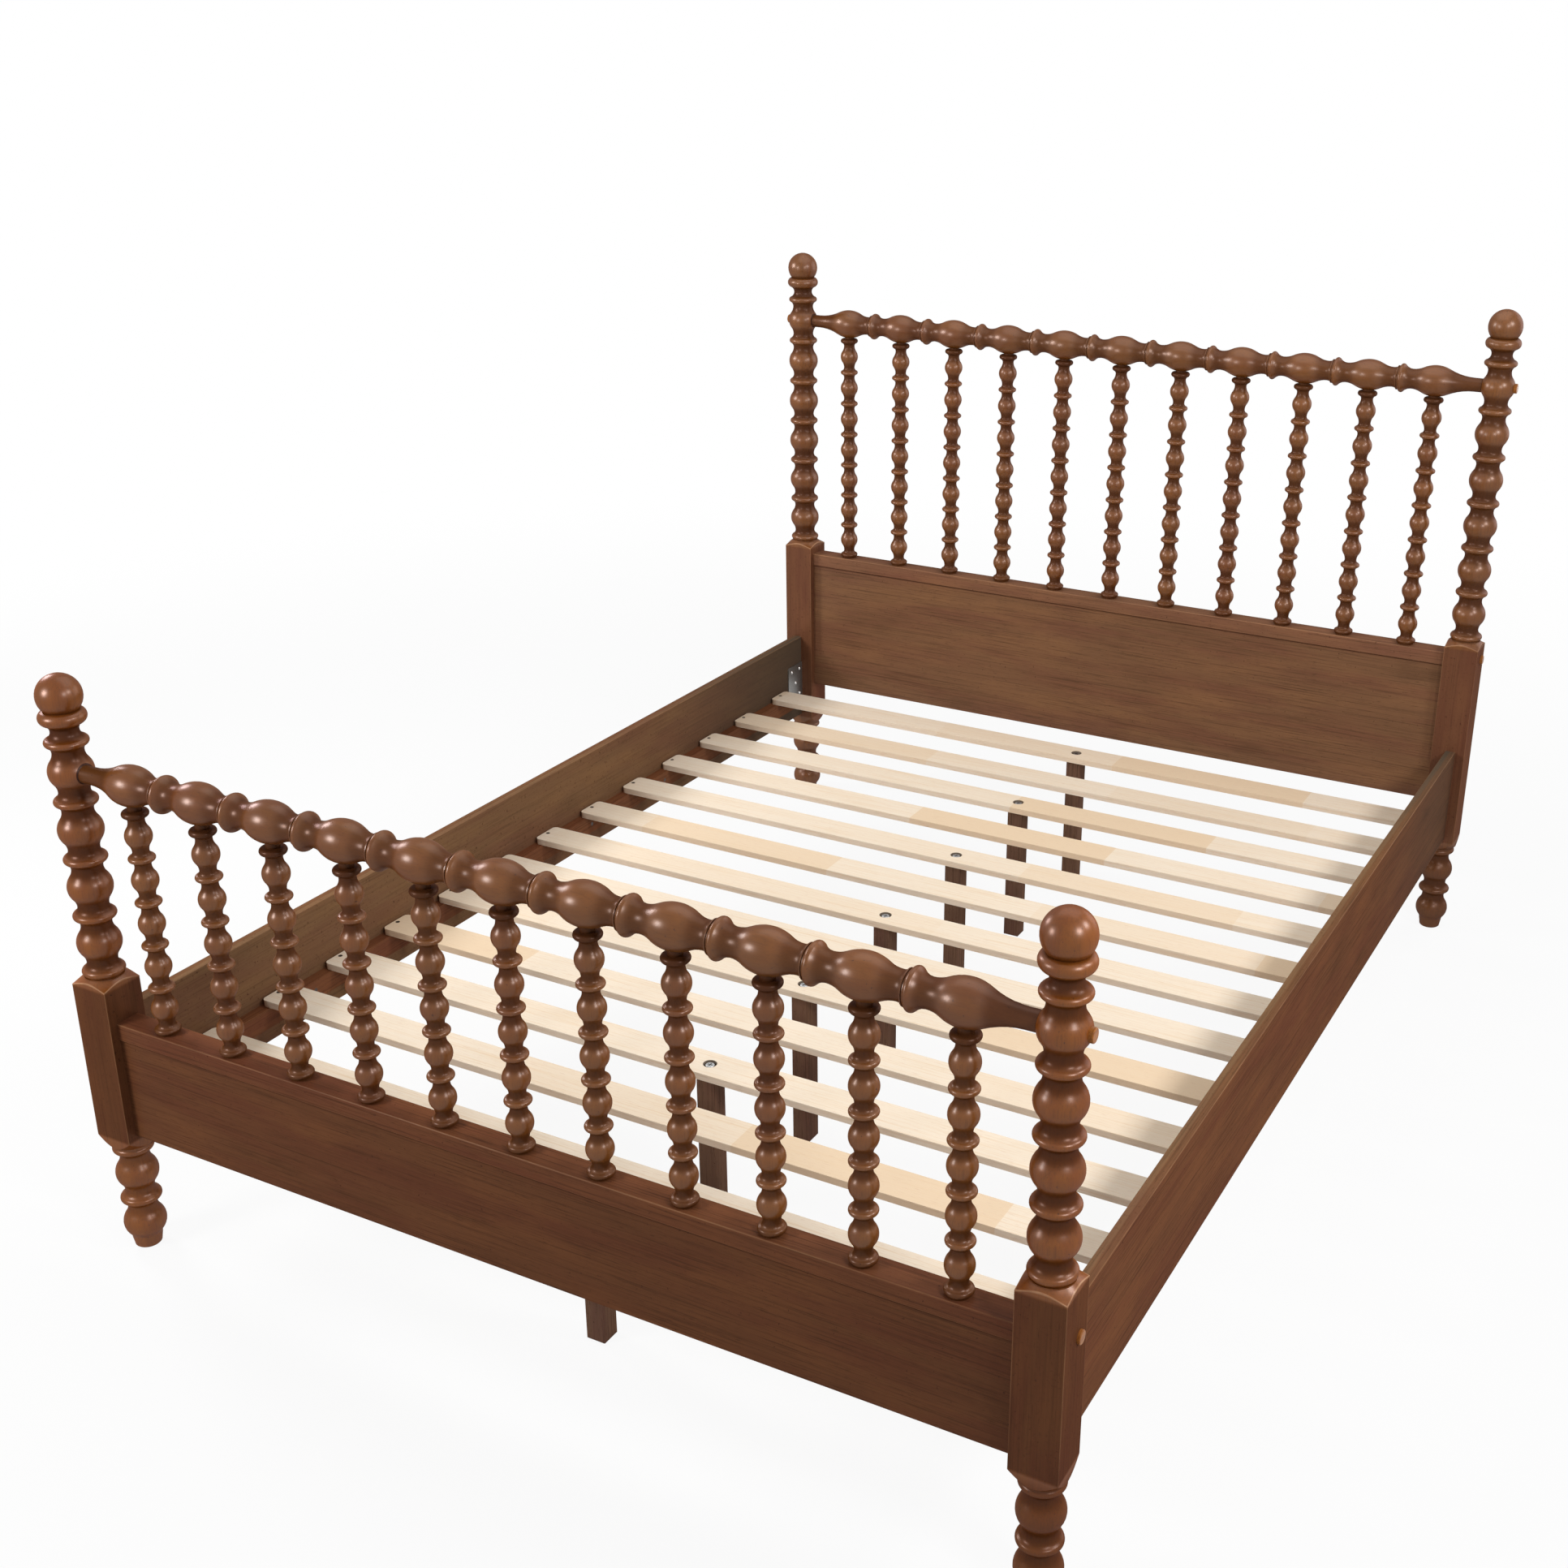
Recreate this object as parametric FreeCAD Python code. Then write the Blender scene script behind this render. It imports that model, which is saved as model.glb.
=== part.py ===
import FreeCAD, Part
import math
import os

# A spindle bed: four turned posts carry a turned top rail, a row of turned
# spindles, a cap and a flat panel at each end. Two side rails with ledgers
# hang between the ends, and the slats lie on the ledgers and on a row of
# centre legs. Millimetres, +Z up, floor at z = 0, foot end at -Y, head at +Y.

# ------------------------------------------------------------------ the frame
POST_SPAN_X = 1569.0        # post axis to post axis, across the bed
POST_SPAN_Y = 2142.5        # post axis to post axis, foot to head
FIT_GAP = 0.15              # clearance all round a tenon, pin or screw
OVERCUT = 1.0               # how far a cutter starts outside the wood

# ---------------------------------------------------------------------- posts
BLOCK_SIDE = 68.0           # square part of a post
FOOT_BLOCK_HEIGHT = 267.5   # block of a foot post, corner to corner
HEAD_BLOCK_HEIGHT = 432.0   # block of a head post, corner to corner
FOOT_POST_BULBS = 4         # bulbs above the block
HEAD_POST_BULBS = 6
LEG_BULBS = 2               # bulbs below the block
POST_PITCH = 93.0           # ring to ring along a post
POST_BULB_R = 33.0
POST_BULB_ARC = 28.5
POST_NECK_R = 22.6
POST_NECK_TO_RING = 15.5
POST_RING_R = 31.8
POST_RING_ARC = 5.8
FOOT_BULB_Z = 43.0          # lowest bulb above the floor
FOOT_ANKLE_Z = 15.0
FOOT_ANKLE_R = 23.2
FOOT_TIP_R = 20.8
FOOT_EDGE = 1.2             # softened edge at the floor
LEG_RING_TO_BLOCK = 28.5    # uppermost ring below the block to the block's corners
LEG_SHOULDER_RISE = 18.0    # cone between that ring and the corners
LEG_SHOULDER_R = 33.0
QUIRK = 1.6                 # narrow step beside a ring
BLOCK_TO_BASE_RING = 20.0   # block's top corners to the ring above them
BASE_FILLET_R = 29.4        # thin band between the block and that ring
BASE_FILLET_RISE = 11.5
SHOULDER_MID_R = 37.0       # a point on the hollow shoulder
SHOULDER_MID_RISE = 5.6
FINIAL_NECK_RISE = 17.3     # top ring to the neck under the collar
FINIAL_NECK_R = 20.2
COLLAR_RISE = 38.5          # top ring to the collar
COLLAR_R = 34.3
COLLAR_ARC = 11.0
BALL_RISE = 70.5            # top ring to the ball
BALL_R = 33.0

# ------------------------------------------------------------------ top rails
RAIL_BULB_R = 30.9
RAIL_BULB_ARC = 58.0
RAIL_NECK_R = 19.5
RAIL_NECK_TO_RING = 19.4
RAIL_RING_R = 28.5
RAIL_RING_ARC = 4.8
RAIL_FILLET_R = 23.9        # thin fillet on the left of each ring
RAIL_FILLET_WIDTH = 1.8
RAIL_FILLET_TO_RING = 9.6   # fillet's outer side to the ring's middle
RAIL_FILLET_STEP = 1.0      # quirk between the fillet and the ring
RAIL_TENON_R = 13.5
RAIL_TAPER = 76.0           # last bulb to the plain round end
RAIL_TENON_END = 9.0        # end of the tenon from the post's axis

# ------------------------------------------------------------------- spindles
SPINDLE_COUNT = 11
SPINDLE_MARGIN = 121.0      # post's axis to the nearest spindle's
FOOT_SPINDLE_BULBS = 5
HEAD_SPINDLE_BULBS = 7
SPINDLE_BULB_R = 19.7
SPINDLE_BULB_ARC = 21.0
SPINDLE_NECK_R = 12.0
SPINDLE_NECK_TO_RING = 11.4
SPINDLE_RING_R = 19.6
SPINDLE_RING_ARC = 4.4
SPINDLE_BASE_RISE = 7.0     # cap to the lowest ring
SPINDLE_SEAT_R = 15.8
FOOT_DISC_DROP = 42.5       # top rail's axis to the disc that ends a spindle
HEAD_DISC_DROP = 37.5
DISC_ARC = 5.2
TOP_PIN_R = 10.2
TOP_PIN_END = 14.0          # end of the upper pin below the rail's axis
BOTTOM_PIN_R = 8.0
BOTTOM_PIN_LENGTH = 13.0

# ------------------------------------------------------------ caps and panels
CAP_DEPTH = 42.0
CAP_HEIGHT = 28.0
CAP_EDGE = 2.0
FOOT_CAP_DROP = 58.5        # block's top corners to the cap's top
HEAD_CAP_DROP = 16.0
CAP_TENON_LENGTH = 12.0
CAP_TENON_CHEEK = 5.0       # cap's face to the tenon's face
PANEL_THICKNESS = 20.0
PANEL_SETBACK = 3.0         # panel's show face behind the cap's
PANEL_TONGUE = 8.0          # how far a panel enters the cap and the posts
FOOT_PANEL_RISE = 9.0       # block's lower corners to the panel's lower edge
HEAD_PANEL_RISE = 87.0

# ------------------------------------------------------ side rails and ledgers
SIDE_RAIL_THICKNESS = 20.0
SIDE_RAIL_HEIGHT = 200.5
SIDE_RAIL_RISE = 7.0        # block's lower corners to the rail's lower edge
SIDE_RAIL_SETBACK = 19.5    # post's outer side to the rail's
SIDE_RAIL_EDGE = 1.5
LEDGER_WIDTH = 20.0
LEDGER_HEIGHT = 36.0
LEDGER_RISE = 39.0          # rail's lower edge to the ledger's
LEDGER_END_GAP = 7.0        # bracket's plate to the ledger's end
LEDGER_SCREW_COUNT = 8
LEDGER_SCREW_MARGIN = 20.0

# ---------------------------------------------------------------------- slats
SLAT_WIDTH = 65.0
SLAT_THICKNESS = 12.0
SLAT_END_GAP = 3.0
SLAT_CORNER = 9.0
INNER_SLAT_COUNT = 11
INNER_SLAT_MARGIN = 321.25  # post's axis to the last evenly spaced slat
END_SLAT_MARGIN = 153.25    # post's axis to the slat at each end
SLAT_SCREW_INSET = 9.5

# ---------------------------------------------------------------- centre legs
CENTRE_LEG_SIDE = 33.0
CENTRE_LEG_EDGE = 1.5
RECESS_R = 11.0
RECESS_DEPTH = 6.0
BOLT_HEAD_R = 7.5
BOLT_HEAD_HEIGHT = 4.5
BOLT_R = 4.0
BOLT_BITE = 44.0            # how far a bolt enters the leg

# ---------------------------------------------------------- fittings and plugs
BRACKET_LENGTH = 65.0
BRACKET_HEIGHT = 91.0
BRACKET_RISE = 46.0         # rail's lower edge to the bracket's
BRACKET_THICKNESS = 2.5
BRACKET_CORNER = 6.0
BRACKET_LEG = 16.0          # leg turned across the rail's end
HOOK_REACH = 11.0
HOOK_HEIGHT = 22.0
HOOK_LIP = 6.0
HOOK_INSET = 14.0           # bracket's end to a hook's end
SCREW_NEAR = 12.0           # corner and middle screws from the post's face
SCREW_FAR = 48.0
SCREW_MIDDLE = 31.0
SCREW_END_INSET = 14.0
SCREW_R = 2.0
ROUND_HEAD_R = 4.2
ROUND_HEAD_HEIGHT = 2.4
SCREW_TIP_COVER = 6.0       # wood left beyond a screw's tip in a side rail
FLAT_HEAD_R = 3.9
FLAT_HEAD_HEIGHT = 2.2
SLAT_SCREW_BITE = 20.0      # how far a slat's screw enters the ledger
PLUG_R = 9.5
PLUG_PROUD = 4.6
PLUG_DEPTH = 8.0
PLUG_ROUNDING = 1.6
PLUG_SHIFT_Y = 10.5         # plug beside the cap, from the post's axis

# -------------------------------------------------------- worked out from these
HALF_X = POST_SPAN_X / 2
HALF_Y = POST_SPAN_Y / 2
HALF_BLOCK = BLOCK_SIDE / 2
POST_FACE_X = HALF_X - HALF_BLOCK
POST_FACE_Y = HALF_Y - HALF_BLOCK
BLOCK_BOTTOM = FOOT_BULB_Z + (LEG_BULBS - 0.5) * POST_PITCH + LEG_RING_TO_BLOCK
SIDE_RAIL_OUTER = HALF_X + HALF_BLOCK - SIDE_RAIL_SETBACK
SIDE_RAIL_INNER = SIDE_RAIL_OUTER - SIDE_RAIL_THICKNESS
SIDE_RAIL_BOTTOM = BLOCK_BOTTOM + SIDE_RAIL_RISE
BRACKET_BOTTOM = SIDE_RAIL_BOTTOM + BRACKET_RISE
LEDGER_BOTTOM = SIDE_RAIL_BOTTOM + LEDGER_RISE
LEDGER_INNER = SIDE_RAIL_INNER - LEDGER_WIDTH
LEDGER_END = POST_FACE_Y - BRACKET_LENGTH - LEDGER_END_GAP
SLAT_BOTTOM = LEDGER_BOTTOM + LEDGER_HEIGHT
SLAT_TOP = SLAT_BOTTOM + SLAT_THICKNESS
PANEL_FRONT = PANEL_SETBACK - CAP_DEPTH / 2
BRACKET_SCREW_LENGTH = BRACKET_THICKNESS + SIDE_RAIL_THICKNESS - SCREW_TIP_COVER
LEDGER_SCREW_LENGTH = LEDGER_WIDTH + SIDE_RAIL_THICKNESS - SCREW_TIP_COVER
SLAT_SCREW_LENGTH = SLAT_THICKNESS + SLAT_SCREW_BITE
BOLT_LENGTH = SLAT_THICKNESS - RECESS_DEPTH + BOLT_BITE


def spread(reach, count):
    """Places evenly spaced from -reach to +reach."""
    return [reach * (2 * index / (count - 1) - 1) for index in range(count)]


SPINDLE_XS = spread(HALF_X - SPINDLE_MARGIN, SPINDLE_COUNT)
SPINDLE_STEP = SPINDLE_XS[1] - SPINDLE_XS[0]
END_SLAT_Y = HALF_Y - END_SLAT_MARGIN
SLAT_YS = [-END_SLAT_Y] + spread(HALF_Y - INNER_SLAT_MARGIN, INNER_SLAT_COUNT) + [END_SLAT_Y]
LEG_YS = SLAT_YS[::2]       # every second slat stands on a leg


class End:
    """Heights of one end of the bed, and the line of its posts."""

    def __init__(self, y, block_height, post_bulbs, spindle_bulbs, cap_drop, panel_rise, disc_drop):
        self.y = y
        self.block_top = BLOCK_BOTTOM + block_height
        self.base_ring = self.block_top + BLOCK_TO_BASE_RING
        self.top_ring = self.base_ring + post_bulbs * POST_PITCH
        self.rail_z = self.top_ring - POST_PITCH / 2
        self.post_bulbs = post_bulbs
        self.spindle_bulbs = spindle_bulbs
        self.cap_top = self.block_top - cap_drop
        self.cap_bottom = self.cap_top - CAP_HEIGHT
        self.cap_middle = self.cap_top - CAP_HEIGHT / 2
        self.panel_bottom = BLOCK_BOTTOM + panel_rise
        self.disc_z = self.rail_z - disc_drop
        self.spindle_base = self.cap_top + SPINDLE_BASE_RISE
        self.spindle_pitch = (self.disc_z - self.spindle_base) / spindle_bulbs


FOOT = End(-HALF_Y, FOOT_BLOCK_HEIGHT, FOOT_POST_BULBS, FOOT_SPINDLE_BULBS,
           FOOT_CAP_DROP, FOOT_PANEL_RISE, FOOT_DISC_DROP)
HEAD = End(HALF_Y, HEAD_BLOCK_HEIGHT, HEAD_POST_BULBS, HEAD_SPINDLE_BULBS,
           HEAD_CAP_DROP, HEAD_PANEL_RISE, HEAD_DISC_DROP)


# ------------------------------------------------------------- turned outlines
class Hump:
    """A rounded swelling: its height, its radius at the crown and the radius of its arc."""

    def __init__(self, z, crown, arc, filleted=False):
        self.z = z
        self.crown = crown
        self.arc = arc
        self.filleted = filleted
        self.centre = (crown - arc, z)


class Neck:
    """The narrowest point between two swellings."""

    def __init__(self, z, r):
        self.z = z
        self.r = r


def cove(hump, neck):
    """Centre of the hollow arc from a neck to a swelling, and the point where the two touch."""
    rise = neck.z - hump.z
    inset = neck.r - hump.centre[0]
    radius = (rise ** 2 + inset ** 2 - hump.arc ** 2) / (2 * (hump.arc - inset))
    centre = (neck.r + radius, neck.z)
    share = hump.arc / (hump.arc + radius)
    touch_r = hump.centre[0] + share * (centre[0] - hump.centre[0])
    touch_z = hump.z + share * rise
    return centre, (touch_r, touch_z)


def circles_meet(first, first_r, second, second_r):
    """The outer of the two points where two circles in (radius, height) cross."""
    step_r = second[0] - first[0]
    step_z = second[1] - first[1]
    span = math.hypot(step_r, step_z)
    along = (first_r ** 2 - second_r ** 2 + span ** 2) / (2 * span)
    aside = math.sqrt(first_r ** 2 - along ** 2)
    base_r = first[0] + along * step_r / span
    base_z = first[1] + along * step_z / span
    return (base_r + aside * abs(step_z) / span, base_z - aside * step_r / span)


class Outline:
    """Half outline of a turned piece, drawn upwards in (radius, height)."""

    def __init__(self, z):
        self.start = (0.0, z)
        self.here = self.start
        self.edges = []

    def line(self, r, z):
        self.edges.append(Part.LineSegment(V2(self.here), V2((r, z))).toShape())
        self.here = (r, z)

    def arc(self, centre, end):
        """The shorter arc about a centre from the present point to another."""
        first = (self.here[0] - centre[0], self.here[1] - centre[1])
        last = (end[0] - centre[0], end[1] - centre[1])
        radius = math.hypot(*first)
        middle = (first[0] + last[0], first[1] + last[1])
        scale = radius / math.hypot(*middle)
        via = (centre[0] + middle[0] * scale, centre[1] + middle[1] * scale)
        self.arc_through(via, end)

    def arc_through(self, via, end):
        self.edges.append(Part.Arc(V2(self.here), V2(via), V2(end)).toShape())
        self.here = end

    def swell(self, humps, necks, approach=None):
        """Draws swellings parted by necks, from the present point on the first to the last neck."""
        for index, neck in enumerate(necks):
            hump = humps[index]
            hollow, touch = cove(hump, neck)
            self.arc(hump.centre, touch)
            self.arc(hollow, (neck.r, neck.z))
            if index + 1 < len(humps):
                following = humps[index + 1]
                hollow, touch = cove(following, neck)
                if approach and following.filleted:
                    approach(self, following, hollow, neck)
                else:
                    self.arc(hollow, touch)

    def turned(self):
        """The solid that the outline sweeps about the Z axis."""
        self.line(0.0, self.here[1])
        self.line(*self.start)
        face = Part.Face(Part.Wire(self.edges))
        return face.revolve(FreeCAD.Vector(0, 0, 0), FreeCAD.Vector(0, 0, 1), 360)


def V2(point):
    return FreeCAD.Vector(point[0], 0, point[1])


def bulb_row(first_z, pitch, count, bulb, ring, neck_r, neck_to_ring):
    """Rings and bulbs by turns, and the necks between them: ring, bulb, ring ... ring."""
    humps = [Hump(first_z, *ring)]
    necks = []
    for index in range(count):
        low = first_z + index * pitch
        high = low + pitch
        humps.append(Hump((low + high) / 2, *bulb))
        humps.append(Hump(high, *ring))
        necks.append(Neck(low + neck_to_ring, neck_r))
        necks.append(Neck(high - neck_to_ring, neck_r))
    return humps, necks


# ------------------------------------------------------------- simple builders
def box(x_range, y_range, z_range):
    x0, x1 = sorted(x_range)
    y0, y1 = sorted(y_range)
    z0, z1 = sorted(z_range)
    return Part.makeBox(x1 - x0, y1 - y0, z1 - z0, FreeCAD.Vector(x0, y0, z0))


def rod(radius, start, end):
    """A cylinder between two points."""
    first = FreeCAD.Vector(*start)
    axis = FreeCAD.Vector(*end) - first
    return Part.makeCylinder(radius, axis.Length, first, axis)


def eased(shape, radius, keep):
    """The shape with the straight edges that keep(edge) names rounded off."""
    return shape.makeFillet(radius, [edge for edge in shape.Edges if keep(edge)])


def runs_along(axis):
    """Picks the edges that run along one axis, 0 for X, 1 for Y and 2 for Z."""
    def test(edge):
        step = edge.Vertexes[0].Point - edge.Vertexes[-1].Point
        return abs(abs(step[axis]) - edge.Length) < 1e-6
    return test


def placed(shape, origin, direction=(0, 0, 1)):
    """The shape, built along Z, turned to a direction and moved to a point."""
    copy = shape.copy()
    turn = FreeCAD.Rotation(FreeCAD.Vector(0, 0, 1), FreeCAD.Vector(*direction))
    copy.Placement = FreeCAD.Placement(FreeCAD.Vector(*origin), turn)
    return copy


# ----------------------------------------------------------------------- posts
POST_BULB = (POST_BULB_R, POST_BULB_ARC)
POST_RING = (POST_RING_R, POST_RING_ARC)


def ring_start(ring, r):
    """Point on a ring's lower side at a given radius."""
    return (r, ring.z - math.sqrt(ring.arc ** 2 - (r - ring.centre[0]) ** 2))


def post_leg():
    """Turned leg from the floor up into the block."""
    ankle = Neck(FOOT_ANKLE_Z, FOOT_ANKLE_R)
    lowest = Hump(FOOT_BULB_Z, *POST_BULB)
    first_ring = FOOT_BULB_Z + POST_PITCH / 2
    humps, necks = bulb_row(first_ring, POST_PITCH, LEG_BULBS - 1, POST_BULB, POST_RING,
                            POST_NECK_R, POST_NECK_TO_RING)
    necks.insert(0, Neck(first_ring - POST_NECK_TO_RING, POST_NECK_R))
    humps.insert(0, lowest)
    top_ring = humps[-1]
    outline = Outline(0.0)
    outline.line(FOOT_TIP_R - FOOT_EDGE, 0.0)
    outline.line(FOOT_TIP_R, FOOT_EDGE)
    outline.line(FOOT_ANKLE_R, FOOT_ANKLE_Z)
    hollow, touch = cove(lowest, ankle)
    outline.arc(hollow, touch)
    outline.swell(humps, necks)
    quirk_r = LEG_SHOULDER_R - 2 * QUIRK
    low_side = ring_start(top_ring, quirk_r)
    outline.arc(top_ring.centre, (quirk_r, 2 * top_ring.z - low_side[1]))
    outline.line(quirk_r, BLOCK_BOTTOM)
    return outline.turned()


def post_turning(end):
    """Turned upper part from inside the block to the ball on top."""
    humps, necks = bulb_row(end.base_ring, POST_PITCH, end.post_bulbs, POST_BULB, POST_RING,
                            POST_NECK_R, POST_NECK_TO_RING)
    collar = Hump(end.top_ring + COLLAR_RISE, COLLAR_R, COLLAR_ARC)
    humps.append(collar)
    necks.append(Neck(end.top_ring + FINIAL_NECK_RISE, FINIAL_NECK_R))
    ball = (0.0, end.top_ring + BALL_RISE)
    groove_r = BASE_FILLET_R - QUIRK
    fillet_top = end.block_top + BASE_FILLET_RISE + QUIRK
    outline = Outline(end.block_top)
    outline.line(BASE_FILLET_R, end.block_top)
    outline.line(BASE_FILLET_R, fillet_top)
    outline.line(groove_r, fillet_top)
    outline.line(*ring_start(humps[0], groove_r))
    outline.swell(humps, necks)
    outline.arc(collar.centre, circles_meet(collar.centre, COLLAR_ARC, ball, BALL_R))
    outline.arc(ball, (0.0, ball[1] + BALL_R))
    outline.line(*outline.start)
    face = Part.Face(Part.Wire(outline.edges))
    return face.revolve(FreeCAD.Vector(0, 0, 0), FreeCAD.Vector(0, 0, 1), 360)


def post_block(end):
    """Square block whose ends are turned: a cone below, a hollow shoulder above."""
    corner_r = HALF_BLOCK * math.sqrt(2)
    outer_r = corner_r + OVERCUT
    slope = LEG_SHOULDER_RISE / (corner_r - LEG_SHOULDER_R)
    low = BLOCK_BOTTOM - LEG_SHOULDER_RISE
    shoulder = end.block_top + BASE_FILLET_RISE
    outline = Outline(low)
    outline.line(LEG_SHOULDER_R, low)
    outline.line(outer_r, low + slope * (outer_r - LEG_SHOULDER_R))
    outline.line(outer_r, end.block_top)
    outline.arc_through((SHOULDER_MID_R, end.block_top + SHOULDER_MID_RISE), (BASE_FILLET_R, shoulder))
    blank = outline.turned()
    square = box((-HALF_BLOCK, HALF_BLOCK), (-HALF_BLOCK, HALF_BLOCK), (low, shoulder))
    return square.common(blank)


def post(end, side):
    """One post, with its mortises, rail socket, plug bores and hook slots."""
    body = post_block(end).fuse([post_leg(), post_turning(end)]).removeSplitter()
    body = placed(body, (side * HALF_X, end.y, 0))
    cuts = [panel_blank(end, FIT_GAP), cap_tenon(end, side, FIT_GAP), rail_socket(end, side)]
    for origin, direction in plug_places(end, side):
        cuts.append(placed(Part.makeCylinder(PLUG_R + FIT_GAP, PLUG_DEPTH + BLOCK_SIDE),
                           origin, direction))
    cuts += hook_slots(end, side)
    return body.cut(cuts)


def rail_socket(end, side):
    inner = side * (HALF_X - RAIL_TENON_END + FIT_GAP)
    outer = side * (POST_FACE_X - OVERCUT)
    return rod(RAIL_TENON_R + FIT_GAP, (inner, end.y, end.rail_z), (outer, end.y, end.rail_z))


# ------------------------------------------------------- top rails and spindles
def rail_fillet(outline, ring, hollow, neck):
    """Hollow from a neck up to the thin fillet, the fillet, and a quirk where the ring starts."""
    foot_z = ring.z - RAIL_FILLET_TO_RING
    radius = hollow[0] - neck.r
    foot_r = hollow[0] - math.sqrt(radius ** 2 - (foot_z - neck.z) ** 2)
    inner_z = foot_z + RAIL_FILLET_WIDTH
    quirk_r = RAIL_FILLET_R - RAIL_FILLET_STEP
    outline.arc(hollow, (foot_r, foot_z))
    outline.line(RAIL_FILLET_R, foot_z)
    outline.line(RAIL_FILLET_R, inner_z)
    outline.line(quirk_r, inner_z)
    outline.line(ring.centre[0], ring.z - ring.arc)


def top_rail(end):
    """Turned rail with a bulb over each spindle, a ring midway between two, and round tenons."""
    bulb = (RAIL_BULB_R, RAIL_BULB_ARC)
    ring = (RAIL_RING_R, RAIL_RING_ARC, True)
    last = SPINDLE_XS[-1]
    tip = HALF_X - RAIL_TENON_END
    humps, necks = [Hump(-last, *bulb)], []
    for x in SPINDLE_XS[:-1]:
        middle = x + SPINDLE_STEP / 2
        humps.append(Hump(middle, *ring))
        humps.append(Hump(x + SPINDLE_STEP, *bulb))
        necks.append(Neck(middle - RAIL_NECK_TO_RING, RAIL_NECK_R))
        necks.append(Neck(middle + RAIL_NECK_TO_RING, RAIL_NECK_R))
    necks.append(Neck(last + RAIL_TAPER, RAIL_TENON_R))
    start = Neck(-last - RAIL_TAPER, RAIL_TENON_R)
    outline = Outline(-tip)
    outline.line(RAIL_TENON_R, -tip)
    outline.line(RAIL_TENON_R, start.z)
    hollow, touch = cove(humps[0], start)
    outline.arc(hollow, touch)
    outline.swell(humps, necks, rail_fillet)
    outline.line(RAIL_TENON_R, tip)
    rail = placed(outline.turned(), (0, end.y, end.rail_z), (1, 0, 0))
    bottom = end.rail_z - RAIL_BULB_R - OVERCUT
    top = end.rail_z - TOP_PIN_END + FIT_GAP
    holes = [rod(TOP_PIN_R + FIT_GAP, (x, end.y, bottom), (x, end.y, top)) for x in SPINDLE_XS]
    return rail.cut(holes)


def spindle(end):
    """Turned spindle between the cap and the top rail, pinned into both."""
    bulb = (SPINDLE_BULB_R, SPINDLE_BULB_ARC)
    ring = (SPINDLE_RING_R, SPINDLE_RING_ARC)
    humps, necks = bulb_row(end.spindle_base, end.spindle_pitch, end.spindle_bulbs, bulb, ring,
                            SPINDLE_NECK_R, SPINDLE_NECK_TO_RING)
    disc = Hump(end.disc_z, SPINDLE_RING_R, DISC_ARC)
    humps[-1] = disc
    outline = Outline(end.cap_top - BOTTOM_PIN_LENGTH)
    outline.line(BOTTOM_PIN_R, end.cap_top - BOTTOM_PIN_LENGTH)
    outline.line(BOTTOM_PIN_R, end.cap_top)
    outline.line(SPINDLE_SEAT_R, end.cap_top)
    outline.line(*ring_start(humps[0], SPINDLE_SEAT_R))
    outline.swell(humps, necks)
    outline.arc(disc.centre, (disc.centre[0], disc.z + disc.arc))
    outline.line(TOP_PIN_R, disc.z + disc.arc)
    outline.line(TOP_PIN_R, end.rail_z - TOP_PIN_END)
    return outline.turned()


# ------------------------------------------------------------- caps and panels
def panel_blank(end, gap=0.0):
    """The panel, tongues included, or the groove that takes it."""
    reach = POST_FACE_X + PANEL_TONGUE + gap
    front = end.y + PANEL_FRONT
    return box((-reach, reach), (front - gap, front + PANEL_THICKNESS + gap),
               (end.panel_bottom - gap, end.cap_bottom + PANEL_TONGUE + gap))


def cap_tenon(end, side, gap=0.0):
    half = CAP_DEPTH / 2 - CAP_TENON_CHEEK + gap
    inner = side * (POST_FACE_X - OVERCUT)
    outer = side * (POST_FACE_X + CAP_TENON_LENGTH + gap)
    return box((inner, outer), (end.y - half, end.y + half),
               (end.cap_bottom + CAP_TENON_CHEEK - gap, end.cap_top - CAP_TENON_CHEEK + gap))


def cap(end):
    """Cap over the panel: eased long edges, a tenon at each end, spindle holes above."""
    bar = box((-POST_FACE_X, POST_FACE_X), (end.y - CAP_DEPTH / 2, end.y + CAP_DEPTH / 2),
              (end.cap_bottom, end.cap_top))
    bar = eased(bar, CAP_EDGE, runs_along(0))
    bar = bar.fuse([cap_tenon(end, -1), cap_tenon(end, 1)]).removeSplitter()
    floor_z = end.cap_top - BOTTOM_PIN_LENGTH - FIT_GAP
    cuts = [rod(BOTTOM_PIN_R + FIT_GAP, (x, end.y, floor_z), (x, end.y, end.cap_top + OVERCUT))
            for x in SPINDLE_XS]
    cuts.append(panel_blank(end, FIT_GAP))
    return bar.cut(cuts)


# ------------------------------------------------------ side rails and ledgers
def screw_bore(place, length):
    """Pilot bore of a screw, a little longer than the screw."""
    origin, direction = place
    return placed(Part.makeCylinder(SCREW_R + FIT_GAP, length + FIT_GAP), origin, direction)


def bracket_screw_places(end, side):
    """Five screws in a quincunx on a bracket's plate, as (point, direction)."""
    inward = -1 if end.y > 0 else 1
    face = end.y + inward * HALF_BLOCK
    low = BRACKET_BOTTOM + SCREW_END_INSET
    high = BRACKET_BOTTOM + BRACKET_HEIGHT - SCREW_END_INSET
    spots = [(SCREW_NEAR, low), (SCREW_NEAR, high), (SCREW_FAR, low), (SCREW_FAR, high),
             (SCREW_MIDDLE, (low + high) / 2)]
    x = side * (SIDE_RAIL_INNER - BRACKET_THICKNESS)
    return [((x, face + inward * along, z), (side, 0, 0)) for along, z in spots]


def ledger_screw_places(side):
    z = LEDGER_BOTTOM + LEDGER_HEIGHT / 2
    ys = spread(LEDGER_END - LEDGER_SCREW_MARGIN, LEDGER_SCREW_COUNT)
    return [((side * LEDGER_INNER, y, z), (side, 0, 0)) for y in ys]


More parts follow.
